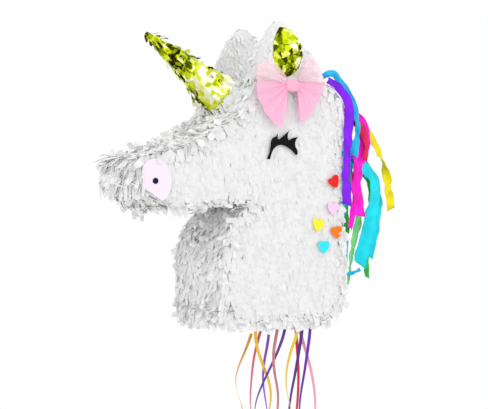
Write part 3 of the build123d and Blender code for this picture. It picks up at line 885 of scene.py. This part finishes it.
OF_CARD = ("_band", "_panel", "ear_card", "hanger_plate", "trap_door", "fill_flap", "horn_cone")
for name, node in NODES.items():
    if name.endswith(OF_CARD):
        dress(node, CARD)
dress(NODES["hanging_eyelet"], plain("rolled_brass", "#D9B25A", 0.3, 1.0))
dress(NODES["release_washer"], plain("moulded_nylon", "#E8E8E4", 0.4))
dress(NODES["release_knot"], plain("knotted_polypropylene", "#D42038", 0.4))
dress(NODES["mane_tape"], plain("paper_tape", "#ECE8DE", 0.8))

# ---------------------------------------------------------------- felt trims


def arc(start, via, end, steps=8):
    """Points along the circle through three points, without the last one."""
    ax, az, bx, bz, cx, cz = *start, *via, *end
    d = 2 * (ax * (bz - cz) + bx * (cz - az) + cx * (az - bz))
    a2, b2, c2 = ax**2 + az**2, bx**2 + bz**2, cx**2 + cz**2
    ux = (a2 * (bz - cz) + b2 * (cz - az) + c2 * (az - bz)) / d
    uz = (a2 * (cx - bx) + b2 * (ax - cx) + c2 * (bx - ax)) / d
    first = math.atan2(az - uz, ax - ux)
    middle = (math.atan2(bz - uz, bx - ux) - first) % (2 * math.pi)
    last = (math.atan2(cz - uz, cx - ux) - first) % (2 * math.pi)
    sweep = last if middle < last else last - 2 * math.pi
    radius = math.hypot(ax - ux, az - uz)
    angles = [first + sweep * i / steps for i in range(steps)]
    return [(ux + radius * math.cos(a), uz + radius * math.sin(a)) for a in angles]


def cutout(name, outline, side, low, thick, material, shape=None):
    """A piece cut from felt, in millimetres: its outline in X and Z, on the side -1 or 1.

    shape(x, z) gives how far each point stands out, for a dome or a curl.
    """
    flat = bmesh.new()
    corners = [flat.verts.new((x, 0, z)) for x, z in outline]
    face = flat.faces.new(corners)
    flat.normal_update()
    bmesh.ops.triangulate(flat, faces=[face])
    bmesh.ops.subdivide_edges(flat, edges=flat.edges[:], cuts=3, use_grid_fill=True)
    bmesh.ops.remove_doubles(flat, verts=flat.verts[:], dist=0.05)
    mesh = bpy.data.meshes.new(name)
    for vert in flat.verts:
        x, _, z = vert.co
        lift = shape(x, z) if shape else 0.0
        vert.co = Vector((x, side * (low + lift), z)) * MM
    bmesh.ops.recalc_face_normals(flat, faces=flat.faces[:])
    if sum(f.normal.y for f in flat.faces) * side < 0:
        bmesh.ops.reverse_faces(flat, faces=flat.faces[:])
    flat.to_mesh(mesh)
    flat.free()
    piece = bpy.data.objects.new(name, mesh)
    bpy.context.collection.objects.link(piece)
    dress(piece, material)
    select_only(piece)
    thicken = piece.modifiers.new("thickness", "SOLIDIFY")
    thicken.thickness = thick * MM
    thicken.offset = 1.0
    bpy.ops.object.modifier_apply(modifier=thicken.name)
    return piece


def select_only(piece):
    """Selects one piece and makes it the active one."""
    bpy.ops.object.select_all(action="DESELECT")
    piece.select_set(True)
    bpy.context.view_layer.objects.active = piece


SKIN = 77.0        # the fringe's outer face, from the middle plane, in millimetres
# The closed eye, from the front end of its lid round the lashes and back along its lower edge
LASHES = [
    *arc((-11, -118), (-6, -106), (-4, -93), 4),
    *arc((-4, -93), (-1, -86), (6, -83), 4), (6, -83), (8, -78), (8, -87),
    *arc((12, -87), (20, -81), (31, -72), 4), (31, -72),
    *arc((31, -72), (26, -81), (28, -89), 4), (28, -89),
    *arc((28, -89), (37, -85), (45.5, -83), 4), (45.5, -83),
    *arc((45.5, -83), (40, -91), (41, -100), 4),
    *arc((41, -100), (44, -104), (44.5, -109), 3), (44.5, -109), (42.5, -111.5),
    *arc((41, -111), (29, -101), (16, -96)),
    *arc((16, -96), (4, -99.5), (-3, -109)), (-3, -109), (-6.5, -119),
]
BLACK_FELT = felt("black_felt", "#0B0B0D", "#26262A")


def make_eyelashes():
    """A closed eye of black felt on each side."""
    for side, hand in ((-1, "left"), (1, "right")):
        piece = cutout(hand + "_closed_eye", LASHES, side, SKIN + 0.6, 1.2, BLACK_FELT)
        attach(piece, "carcass")
        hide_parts("eyelashes")


def heart_outline(size):
    """A heart about its middle, as four arcs."""
    top, lobe, half = size * 0.2, size / 4, size / 2
    return (arc((0, top), (lobe, top + lobe * 0.95), (half, top))
            + arc((half, top), (size * 0.36, -size * 0.16), (0, -half))
            + arc((0, -half), (-size * 0.36, -size * 0.16), (-half, top))
            + arc((-half, top), (-lobe, top + lobe * 0.95), (0, top)))


# name: (X, Z, turn in degrees, curl in millimetres, colour, light fibre)
HEARTS = {
    "red": (113, -153, 35, 6.0, "#E01414", "#F04840"),
    "pale_pink": (111, -195, -6, 1.0, "#FFC2EC", "#FFDDF5"),
    "yellow": (83, -221, -12, 1.5, "#F7EA00", "#FFF760"),
    "orange": (118, -233, 8, 1.0, "#FF6A00", "#FF9640"),
    "turquoise": (94, -256, 0, 1.0, "#00DDF0", "#60F0FF"),
}
HEART_SIZE = 21.0


def make_hearts():
    """The felt hearts, each turned and curled a little differently."""
    for name, (x, z, turn, curl, code, light) in HEARTS.items():
        angle = math.radians(turn)
        cos, sin = math.cos(angle), math.sin(angle)
        points = [(x + u * cos - v * sin, z + u * sin + v * cos) for u, v in heart_outline(HEART_SIZE)]

        def stand(px, pz, x=x, z=z, curl=curl):
            """How far the heart stands out: it curls up towards two opposite corners."""
            return 0.6 + curl * ((px - x + pz - z) / HEART_SIZE) ** 2

        piece = cutout("heart_" + name, points, -1, SKIN, 1.2, felt(name + "_felt", code, light), stand)
        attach(piece, "carcass")
        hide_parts("felt_hearts")


make_eyelashes()
make_hearts()
dress(NODES["nostril_patches"], felt("lilac_felt", "#F3E0F8", "#FBF0FE"))
dress(NODES["nostril_dots"], felt("navy_felt", "#15152E", "#2C2C50"))

# ---------------------------------------------------------------- foil horn and ear linings

HORN_FOOT = np.array([-50.0, 0.0, -16.0])
HORN_TIP = np.array([-182.0, 0.0, 74.0])
HORN_R, HORN_TIP_R = 32.5, 3.2
HORN_LONG = np.linalg.norm(HORN_TIP - HORN_FOOT)
HORN_AXIS = (HORN_TIP - HORN_FOOT) / HORN_LONG
HORN_ACROSS = np.array([0.0, 1.0, 0.0])
HORN_UP = np.cross(HORN_AXIS, HORN_ACROSS)
FOOT_RUN = 1.0             # how far the foil reaches past the horn's foot
FOIL_ROW = 8.0             # from one row of foil tabs to the next
COLLAR_TABS = 300


def horn_radius(along):
    """The horn's radius at a distance from its foot."""
    return HORN_R + (HORN_TIP_R - HORN_R) * along / HORN_LONG


def on_horn(along, angle, radius):
    """Points round the horn, and the direction out from its axis at each."""
    ring = np.cos(angle)[:, None] * HORN_ACROSS + np.sin(angle)[:, None] * HORN_UP
    return HORN_FOOT + along[:, None] * HORN_AXIS + radius[:, None] * ring, ring


def towards_foot(ring, rng, wander):
    """A direction along the horn's skin, mostly towards its foot, that wanders."""
    down = unit(-HORN_AXIS + rng.normal(0, wander, (len(ring), 3)))
    return unit(down - ring * np.sum(down * ring, axis=1)[:, None])


def horn_core(rng):
    """Broad creased facets of foil, lighter low on the left flank as a painted highlight where the foil
    is smooth, with painted reflections of random tone elsewhere.
    """
    rings, spokes = 17, 20
    along = np.repeat(np.linspace(-FOOT_RUN, HORN_LONG, rings), spokes)
    angle = np.tile(np.linspace(0, 2 * math.pi, spokes, endpoint=False), rings)
    radius = horn_radius(along)
    radius = radius + rng.normal(0, 0.9, along.size) * np.clip(radius / 12, 0, 1)
    angle = angle + rng.normal(0, 0.05, angle.size)
    core, _ = on_horn(along, angle, radius)
    faces = []
    for i in range(rings - 1):
        for j in range(spokes):
            a, b = i * spokes + j, i * spokes + (j + 1) % spokes
            faces.append((a, b, b + spokes, a + spokes))
    tip, last_ring = len(core), (rings - 1) * spokes
    core = np.vstack([core, HORN_TIP + HORN_AXIS * 1.5, HORN_FOOT - HORN_AXIS * FOOT_RUN])
    faces += [(last_ring + j, last_ring + (j + 1) % spokes, tip) for j in range(spokes)]
    faces += [((j + 1) % spokes, j, tip + 1) for j in range(spokes)]
    # Low on the left flank the facets take light tints, a painted highlight; elsewhere random tints, a
    # painted reflection.
    left = np.append(-np.cos(angle), [0, 0])
    low = np.append(along < 75, [False, False])
    painted_highlight, mixed = rng.uniform(0.66, 1.0, len(core)), rng.uniform(0.25, 0.8, len(core))
    return core, faces, np.where(low & (left > 0.2), painted_highlight, mixed)


def horn_tabs(rng):
    """Rows of foil tabs that point back towards the foot, few of them low on the left flank."""
    places, turns = [], []
    row = FOIL_ROW
    while row < HORN_LONG + 4:
        number = max(5, int(2 * math.pi * horn_radius(row) / 6.5))
        turns.append(rng.uniform(0, 2 * math.pi) + np.arange(number) * 2 * math.pi / number)
        places.append(row + rng.normal(0, 2.5, number))
        row += FOIL_ROW
    along, angle = np.concatenate(places), np.concatenate(turns)
    bare = (-np.cos(angle) > -0.1) & (along < 84)
    keep = ~(bare & (rng.random(along.size) < 0.93))
    along, angle = along[keep], angle[keep]
    root, ring = on_horn(along, angle, horn_radius(np.clip(along, 0, HORN_LONG)))
    count = len(root)
    down = towards_foot(ring, rng, 0.3)
    stands = rng.random(count) < 0.3
    lean = np.radians(np.where(stands, rng.uniform(25, 75, count), rng.uniform(4, 20, count)))
    angles = np.stack([lean, lean * 0.7, lean - np.radians(rng.uniform(-15, 45, count))], 1)
    verts, faces = tab_mesh(root * MM, ring, down, rng.uniform(9, 15, count) * MM,
                            rng.uniform(4, 8, count) * MM, angles, rng.normal(0, 0.5, count))
    # Half the tabs take dark tints and the rest mid tones: painted reflection of the crinkled foil.
    dark = rng.random(count) < 0.5
    tint = np.where(dark, rng.uniform(0.0, 0.3, count), rng.uniform(0.3, 0.75, count))
    return verts, faces, np.repeat(tint, TAB_CORNERS)


def make_horn():
    """The foil fringe over the horn's cone, and white tabs that hide the card below it."""
    rng = np.random.default_rng(41)
    core, core_faces, core_tint = horn_core(rng)
    verts, tabs, tab_tint = horn_tabs(rng)
    joined = np.concatenate([core * MM, verts])
    tint = np.concatenate([core_tint, tab_tint])
    faces = core_faces + (tabs + len(core)).tolist()
    piece = mesh_piece("horn_foil_fringe", joined, faces, FOIL, tint=tint)
    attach(piece, "carcass")
    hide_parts("horn_foil_wrap")

    along, angle = rng.uniform(-20, 4, COLLAR_TABS), rng.uniform(0, 2 * math.pi, COLLAR_TABS)
    root, ring = on_horn(along, angle, horn_radius(along) + 0.3)
    down = towards_foot(ring, rng, 0.35)
    lean = np.radians(rng.uniform(3, 28, COLLAR_TABS))
    verts, tabs = tab_mesh(root * MM, ring, down, rng.uniform(12, 18, COLLAR_TABS) * MM,
                           rng.uniform(4, 7, COLLAR_TABS) * MM, np.stack([lean, lean, lean], 1),
                           rng.normal(0, 0.4, COLLAR_TABS))
    tint = np.repeat(rng.random(COLLAR_TABS), TAB_CORNERS)
    collar = mesh_piece("horn_foot_tabs", verts, tabs.tolist(), TISSUE, tint=tint)
    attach(collar, "carcass")


def make_ear_lining(node, seed):
    """A leaf of crumpled foil: flat patches a few millimetres wide that tip every way, each tinted dark
    or light as painted reflection.
    """
    rng = np.random.default_rng(seed)
    piece = NODES[node].copy()
    piece.data = NODES[node].data.copy()
    piece.name = node + "_crumpled"
    piece.parent = None
    bpy.context.collection.objects.link(piece)
    select_only(piece)
    remesh = piece.modifiers.new("remesh", "REMESH")
    remesh.mode = "VOXEL"
    remesh.voxel_size = 1.6 * MM
    bpy.ops.object.modifier_apply(modifier=remesh.name)
    low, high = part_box(node)
    side = -1 if low[1] < 0 else 1
    patches = 46
    across, up = rng.uniform(low[0], high[0], patches), rng.uniform(low[2], high[2], patches)
    peaks = np.stack([across, up], 1)
    slopes = rng.normal(0, 0.38, (patches, 2))
    # Each patch's dark or light tint is a painted reflection of the way it tips.
    dark = rng.random(patches) < 0.45
    reflection_tones = np.where(dark, rng.uniform(0.2, 0.42, patches), rng.uniform(0.45, 0.85, patches))
    tint = []
    for vert in piece.data.vertices:
        away = np.array([vert.co.x, vert.co.z]) - peaks
        nearest = int(np.argmin(np.sum(away ** 2, axis=1)))
        rise = float(away[nearest] @ slopes[nearest])
        vert.co.y += side * (1.4 * MM + max(-1.2 * MM, min(1.6 * MM, rise)))
        tint.append(reflection_tones[nearest])
    layer = piece.data.attributes.new("tint", "FLOAT", "POINT")
    layer.data.foreach_set("value", np.array(tint, np.float32))
    piece.data.polygons.foreach_set("use_smooth", [False] * len(piece.data.polygons))
    dress(piece, FOIL)
    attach(piece, "carcass")
    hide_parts(node)


make_horn()
make_ear_lining("left_ear_lining", 51)
make_ear_lining("right_ear_lining", 52)

# ---------------------------------------------------------------- tulle bow

LOOP_TULLE = tulle("pale_pink_tulle", "#FFDCE8", (0.50, 0.28))
TAIL_TULLE = tulle("pink_tulle", "#FFB9DA", (0.92, 0.74))
KNOT_TULLE = felt("gathered_tulle", "#FBA8C4", "#FFC4DA")      # wrapped so often that it is solid
BOW_LANE = -85.0           # Y of the bow's middle
GATHER = {"front": 22.0, "back": 38.0}     # X of the knot's two ends
# name: (side, material, outer edge in X and Z, pleats, stand off, inner edge's low and high Z)
BOW_PARTS = {
    "front_loop": ("front", LOOP_TULLE, [
        (-33, 1), (-35, 14), (-29, 27), (-16, 34), (0, 30), (14, 17)], 4, -4.0, (-4, 4)),
    "back_loop": ("back", LOOP_TULLE, [
        (46, 17), (52, 30), (59, 42), (67, 46), (76, 36), (84, 22), (90, 9), (91, 2)], 4, -4.0, (-4, 4)),
    "front_tail": ("front", TAIL_TULLE, [
        (-33, 1), (-34, -14), (-30, -28), (-22, -41), (-10, -58), (4, -68), (12, -68), (17, -56),
        (21, -38)],
        5, -2.5, (3, -11)),
    "back_tail": ("back", TAIL_TULLE, [
        (90, 5), (90, -4), (84, -18), (76, -31), (66, -46), (54, -59), (44, -59), (41, -42),
        (40, -30)], 4, -2.5, (3, -11)),
}


def along_edge(points, share):
    """The place at a share of the length of a line through a few points."""
    runs = [math.dist(a, b) for a, b in zip(points, points[1:])]
    walk = share * sum(runs)
    for a, b, run in zip(points, points[1:], runs):
        if walk <= run or b == points[-1]:
            return np.array(a) + (np.array(b) - np.array(a)) * min(1.0, walk / run)
        walk -= run


def fan(x_knot, outer, pleats, puff, inner, steps):
    """A gathered fan of net, in millimetres: narrow at the knot, wide at its outer edge."""
    grid = []
    for i in range(steps[0] + 1):
        u = i / steps[0]
        for j in range(steps[1] + 1):
            v = j / steps[1]
            start = np.array([x_knot, inner[0] + (inner[1] - inner[0]) * v])
            x, z = start + (along_edge(outer, v) - start) * u ** 0.9
            pleat = math.sin(2 * math.pi * pleats * v + 1.3 * math.sin(5 * v))
            fold = pleat * (1.9 - 0.8 * u) * min(1, 5 * u)
            edge = 1 - (2 * v - 1) ** 6
            y = BOW_LANE + puff * math.sin(math.pi * min(1, 0.1 + 0.9 * u)) ** 0.8 * edge + fold
            grid.append((x * MM, y * MM, z * MM))
    return grid


def fan_faces(steps, start, flip):
    """The faces of a fan whose first vertex is number start; flip turns them over."""
    faces = []
    for i in range(steps[0]):
        for j in range(steps[1]):
            a = start + i * (steps[1] + 1) + j
            quad = (a, a + 1, a + steps[1] + 2, a + steps[1] + 1)
            faces.append(quad[::-1] if flip else quad)
    return faces


def make_bow():
    """Two loops of net, each with a front and a back, and two single tails."""
    steps = (20, 36)
    for name, (side, net, outer, pleats, puff, inner) in BOW_PARTS.items():
        verts = fan(GATHER[side], outer, pleats, puff, inner, steps)
        faces = fan_faces(steps, 0, False)
        if "loop" in name:
            faces += fan_faces(steps, len(verts), True)
            verts += fan(GATHER[side], outer, pleats - 1, -puff, inner, steps)
        piece = mesh_piece("bow_" + name, verts, faces, net, smooth=True)
        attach(piece, "carcass")
        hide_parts("bow_loops" if "loop" in name else "bow_tails")


KNOT_SPREAD = (1.3, 1.1)       # how much wider and taller the soft wrap is than its core


def make_knot():
    """The bow's wrapped middle: a rounded band with two folds along it."""
    low, high = (Vector(c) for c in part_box("bow_knot"))
    middle, half = (low + high) / 2, (high - low) / 2
    half = Vector((half.x * KNOT_SPREAD[0], half.y, half.z * KNOT_SPREAD[1]))
    bpy.ops.object.select_all(action="DESELECT")
    bpy.ops.mesh.primitive_uv_sphere_add(segments=48, ring_count=32, radius=1, location=(0, 0, 0))
    knot = bpy.context.object
    knot.name = "bow_knot_wrap"
    for vert in knot.data.vertices:
        u, v, w = (math.copysign(abs(c) ** 0.6, c) for c in vert.co)
        folds = [0.10 * math.exp(-((w - middle_of) / 0.12) ** 2) for middle_of in (0.35, -0.4)]
        fold = 1 - sum(folds)
        vert.co = middle + Vector((u * half.x, v * half.y * fold, w * half.z * (1 - 0.06 * u * u)))
    bpy.ops.object.shade_smooth()
    dress(knot, KNOT_TULLE)
    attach(knot, "carcass")
    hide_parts("bow_knot")


make_bow()
make_knot()

# ---------------------------------------------------------------- crepe mane

# name: (node, colour, dark, Y lane, width, turns, route in X and Z)
MANE = {
    "blue": ("streamer_blue", "#14C0EC", "#0AA0DC", -66, 15, 0.0, [
        (99, 14), (116, 25), (133, 11), (150, -16), (163, -40), (169, -66), (164, -92), (159, -110)]),
    "purple": ("streamer_purple", "#8A04F8", "#7000D8", -79.5, 17, 0.0, [
        (101, 9), (114, 4), (130, -10), (141, -30), (142, -54), (138, -86), (137, -122), (136, -158),
        (136, -190)]),
    "magenta": ("streamer_magenta", "#FF00E0", "#F400BC", -57, 22, 0.0, [
        (148, -35), (168, -45), (184, -62), (189, -84), (184, -103), (175, -124), (171, -150),
        (172, -180), (178, -208)]),
    "yellow": ("streamer_yellow", "#F4E600", "#DCC800", -48, 14, 0.5, [
        (148, -31), (168, -37), (184, -48), (197, -67), (210, -85), (224, -102), (232, -120),
        (238, -142), (240, -162), (246, -198)]),
    "green": ("streamer_green", "#20C820", "#10A830", -35, 15, 0.1, [
        (148, -66), (172, -86), (194, -104), (206, -124), (212, -146), (216, -176), (214, -210),
        (207, -246), (204, -278), (208, -310)]),
    "light_green": ("streamer_light_green", "#8CE48C", "#6CD080", -40, 15, 0.2, [
        (144, -118), (165, -141), (184, -164), (191, -186), (188, -212), (181, -240), (172, -272),
        (167, -298), (166, -318)]),
    "teal": ("streamer_teal", "#00E4F4", "#00CCDC", -50.5, 24, 0.0, [
        (149, -92), (168, -109), (190, -127), (207, -142), (213, -164), (211, -188), (205, -214),
        (196, -243), (188, -266), (182, -288)]),
}
# The inner strips, a painted shade over the magenta's fold, and those over the right side, which share
# one node
LOOSE = {
    "cyan": ("#00E4F8", "#00C8E4", -29, 22, 0.0, [
        (149, -83), (176, -112), (204, -134), (226, -152), (234, -176), (229, -206), (219, -246),
        (213, -274)]),
    # A darker, redder strip laid where the magenta streamer folds: painted shade of that fold.
    "shaded_magenta_fold": ("#F01058", "#C80848", -62.5, 13, 0.0, [
        (148, -45), (163, -52), (176, -64), (186, -82), (188, -100), (184, -116)]),
    "long_magenta": ("#FF00E0", "#F400BC", -60, 13, 0.0, [
        (148, -70), (160, -94), (169, -126), (171, -166), (164, -200), (155, -228)]),
    "short_cyan": ("#10D4F4", "#00B8E0", -54, 11, 0.3, [
        (147, -258), (149, -272), (150, -288), (156, -300), (170, -302), (180, -294)]),
    "right_purple": ("#8A04F8", "#7000D8", 66, 16, 0.0, [(120, 14), (150, -12), (156, -60), (149, -160)]),
    "right_magenta": ("#FF00E0", "#F400BC", 50, 20, 0.1, [
        (149, -40), (178, -70), (176, -130), (168, -210)]),
    "right_yellow": ("#F4E600", "#DCC800", 34, 15, 0.4, [
        (149, -56), (190, -84), (206, -140), (208, -230)]),
    "right_teal": ("#00E4F4", "#00CCDC", 16, 24, 0.0, [
        (150, -80), (192, -110), (202, -180), (190, -290)]),
    "middle_green": ("#20C820", "#10A830", -6, 17, 0.2, [
        (149, -52), (184, -80), (192, -140), (184, -250)]),
}
CREASE = 24 * MM           # from one fold across a strip to the next
TAPE_X = 140               # strips that start behind this are glued to the tape
TUCK_IN, TUCK_UP = 10, 3   # how far their glued ends run on
CREPE_THICK = 0.25 * MM    # thicker than real crepe, as its creases make it


def buckle(share, walked, v, phase, pitch):
    """How far a strip stands off its route, in millimetres: a slow belly, ripples and folds."""
    belly = 1.6 * math.sin(9 * share * pitch[1] + phase[1] + 2.5 * v)
    belly += 1.1 * math.cos(2 * math.pi * v * pitch[2])
    ripple = 0.7 * math.sin(31 * share + phase[0] + 5 * v)
    fold = 2.4 * abs(math.sin(math.pi * walked / CREASE + 2.2 * v + phase[2])) - 1.2
    return belly + ripple + fold


def ragged_edge(share, v, phase):
    """How much wider a strip is here than its stated width, as a factor."""
    bite = 0.08 * math.sin(17 * share + phase[2]) + 0.05 * math.sin(41 * share + phase[1])
    return 1 + (bite if v > 0 else -bite)


def crepe_strip(name, lane, width, turns, points, material, seed):
    """A loose strip of crepe along a route: it buckles, ripples and its end is cut on the skew."""
    rng = np.random.default_rng(seed)
    start_x, start_z = points[0]
    if start_x > TAPE_X:
        points = [(start_x - TUCK_IN, start_z + TUCK_UP), *points]
    route = smooth_route([(x, lane, z) for x, z in points])
    total = sum((b - a).length for a, b in zip(route, route[1:]))
    cells, count = 8, len(route)
    verts, faces = [], []
    phase, pitch = rng.uniform(0, 6, 3), rng.uniform(0.8, 1.4, 3)
    walked = 0.0
    for i, point in enumerate(route):
        if i:
            walked += (point - route[i - 1]).length
        share = walked / total
        along = (route[min(i + 1, count - 1)] - route[max(i - 1, 0)]).normalized()
        side = along.cross(Vector((0, 1, 0))).normalized()
        angle = 2 * math.pi * turns * max(0.0, min(1.0, (share - 0.55) / 0.25))
        sway = 0.32 * math.sin(6 * share * pitch[0] + phase[0]) * min(1, 3 * share)
        wide = side * math.cos(angle + sway) + Vector((0, 1, 0)) * math.sin(angle + sway)
        face = along.cross(wide).normalized()
        pinch = 0.62 + 0.38 * min(1.0, 2.5 * share)
        for j in range(cells + 1):
            v = j / cells - 0.5
            edge = wide * v * width * MM * ragged_edge(share, v, phase) * pinch
            off = face * buckle(share, walked, v, phase, pitch) * MM
            skew = along * v * width * 0.35 * MM * (share > 0.999)
            verts.append(point + edge + off + skew)
    for i in range(count - 1):
        for j in range(cells):
            a = i * (cells + 1) + j
            faces.append((a, a + 1, a + cells + 2, a + cells + 1))
    piece = mesh_piece(name, verts, faces, material, smooth=True)
    select_only(piece)
    thicken = piece.modifiers.new("thickness", "SOLIDIFY")
    thicken.thickness = CREPE_THICK
    thicken.offset = 0.0
    bpy.ops.object.modifier_apply(modifier=thicken.name)
    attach(piece, "carcass")
    return piece


def make_mane():
    """Every streamer, the left ones each in place of a CAD node of its own."""
    for seed, (name, entry) in enumerate(MANE.items()):
        node, code, dark, lane, width, turns, points = entry
        paper = crepe_paper(name + "_crepe_paper", code, dark)
        piece = crepe_strip("crepe_" + name, lane, width, turns, points, paper, 60 + seed)
        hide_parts(node)
    for seed, (name, (code, dark, lane, width, turns, points)) in enumerate(LOOSE.items()):
        paper = crepe_paper(name + "_crepe_paper", code, dark)
        piece = crepe_strip("crepe_" + name, lane, width, turns, points, paper, 80 + seed)
        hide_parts("loose_streamers")


make_mane()
